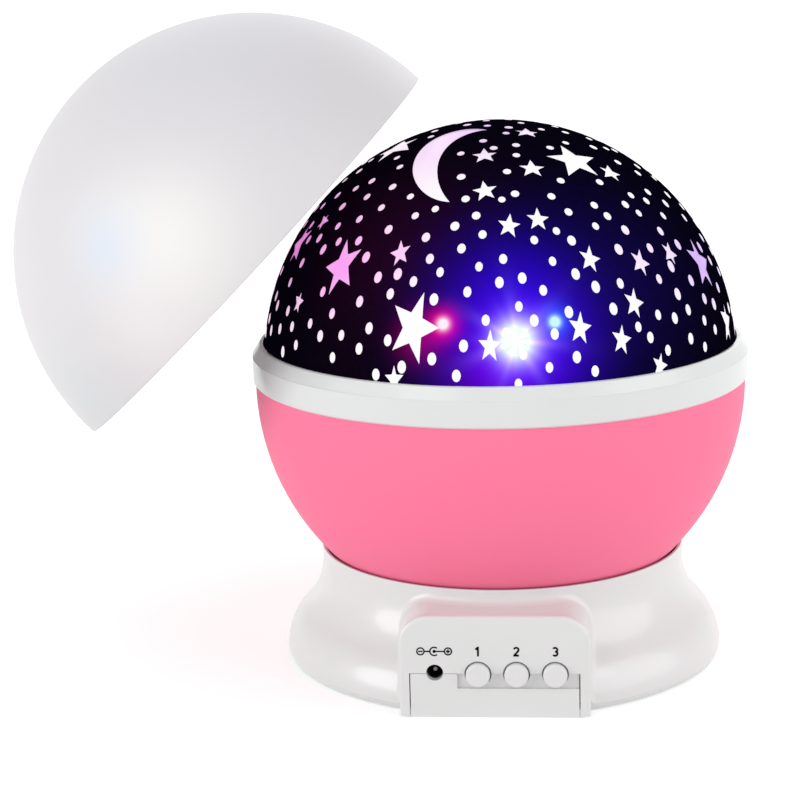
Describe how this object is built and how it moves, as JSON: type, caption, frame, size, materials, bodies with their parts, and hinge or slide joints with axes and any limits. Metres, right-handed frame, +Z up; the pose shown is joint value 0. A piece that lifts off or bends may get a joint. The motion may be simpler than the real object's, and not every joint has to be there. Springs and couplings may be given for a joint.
{
  "type": "star night light",
  "caption": "Globe night light with a turning bowl, a black star-pattern dome, a flared base with push buttons and a lifted-off frosted hemisphere cover.",
  "frame": {"origin": "on the floor under the globe's axis, in the underside of the battery door", "axes": "+Z up along the globe's axis, -Y towards the control block at the front, +X to the right of someone who faces the buttons"},
  "size_m": [0.1865, 0.137, 0.1614],
  "materials": {
    "white_shell": "glossy moulded plastic",
    "button_white": "satin moulded plastic",
    "pink_bowl": "satin moulded plastic",
    "frosted_white": "frosted translucent plastic",
    "clear_plastic": "clear moulded plastic",
    "black_print": "opaque gloss print",
    "screw_steel": "zinc plated",
    "cell_can": "wrapped cell",
    "contact_plate": "nickel plated",
    "lead_jacket": "soft jacket",
    "circuit_board": "lacquered board",
    "black_plastic": "moulded plastic",
    "inner_plastic": "natural moulded plastic",
    "gear_plastic": "acetal",
    "motor_steel": "drawn can",
    "led_white": "lit lamp",
    "led_red": "lit lamp",
    "led_blue": "lit lamp",
    "led_green": "lit lamp"
  },
  "bodies": {
    "base": {"base_shell": "white_shell", "bottom_cover": "white_shell", "case_screws": "screw_steel", "battery_cells": "cell_can", "battery_contacts": "contact_plate", "battery_leads": "lead_jacket", "control_board": "circuit_board", "board_screws": "screw_steel", "driver_chip": "black_plastic", "switches": "black_plastic", "dc_jack": "black_plastic", "jack_pin": "contact_plate", "led_cable": "lead_jacket", "center_post": "inner_plastic", "post_screws": "screw_steel", "thrust_washer": "inner_plastic", "retaining_collar": "inner_plastic", "motor_gearbox": "inner_plastic", "motor_can": "motor_steel", "motor_screws": "screw_steel", "motor_leads": "lead_jacket", "lamp_platform": "inner_plastic", "lamp_board": "circuit_board", "lamp_screws": "screw_steel", "led_white": "led_white", "led_red": "led_red", "led_blue": "led_blue", "led_green": "led_green"},
    "globe": {"bowl": "pink_bowl", "hub_bush": "inner_plastic", "rim_ring": "white_shell", "drive_gear": "gear_plastic", "gear_screws": "screw_steel"},
    "motor_drive": {"drive_pinion": "gear_plastic", "motor_shaft": "screw_steel"},
    "star_dome": {"clear_dome": "clear_plastic", "star_mask": "black_print"},
    "frosted_cover": {"cover": "frosted_white"},
    "first_button": {"button_1": "button_white"},
    "second_button": {"button_2": "button_white"},
    "third_button": {"button_3": "button_white"},
    "battery_lid": {"battery_door": "white_shell", "door_screws": "screw_steel"}
  },
  "joints": [
    {"name": "globe_spin", "type": "hinge", "parent": "base", "child": "globe", "pos_m": [0, 0, 0], "axis": [0, 0, 1], "continuous": true},
    {"name": "pinion_spin", "type": "hinge", "parent": "base", "child": "motor_drive", "pos_m": [0.0336, 0, 0], "axis": [0, 0, 1], "continuous": true},
    {"name": "dome_lift", "type": "slide", "parent": "globe", "child": "star_dome", "axis": [0, 0, 1], "range_m": [0, 0.009]},
    {"name": "cover_slide", "type": "slide", "parent": "base", "child": "frosted_cover", "axis": [-0.7138, -0.028, 0.6998], "range_m": [0, 0.06]},
    {"name": "door_drop", "type": "slide", "parent": "base", "child": "battery_lid", "axis": [0, 0, -1], "range_m": [0, 0.015]},
    {"name": "button_1_press", "type": "slide", "parent": "base", "child": "first_button", "axis": [0, 1, 0], "range_m": [0, 0.001], "stiffness_N_per_m": 400, "springref_m": -0.001},
    {"name": "button_2_press", "type": "slide", "parent": "base", "child": "second_button", "axis": [0, 1, 0], "range_m": [0, 0.001], "stiffness_N_per_m": 400, "springref_m": -0.001},
    {"name": "button_3_press", "type": "slide", "parent": "base", "child": "third_button", "axis": [0, 1, 0], "range_m": [0, 0.001], "stiffness_N_per_m": 400, "springref_m": -0.001}
  ],
  "couplings": [
    {"joint": "pinion_spin", "follows": "globe_spin", "ratio": -6}
  ]
}
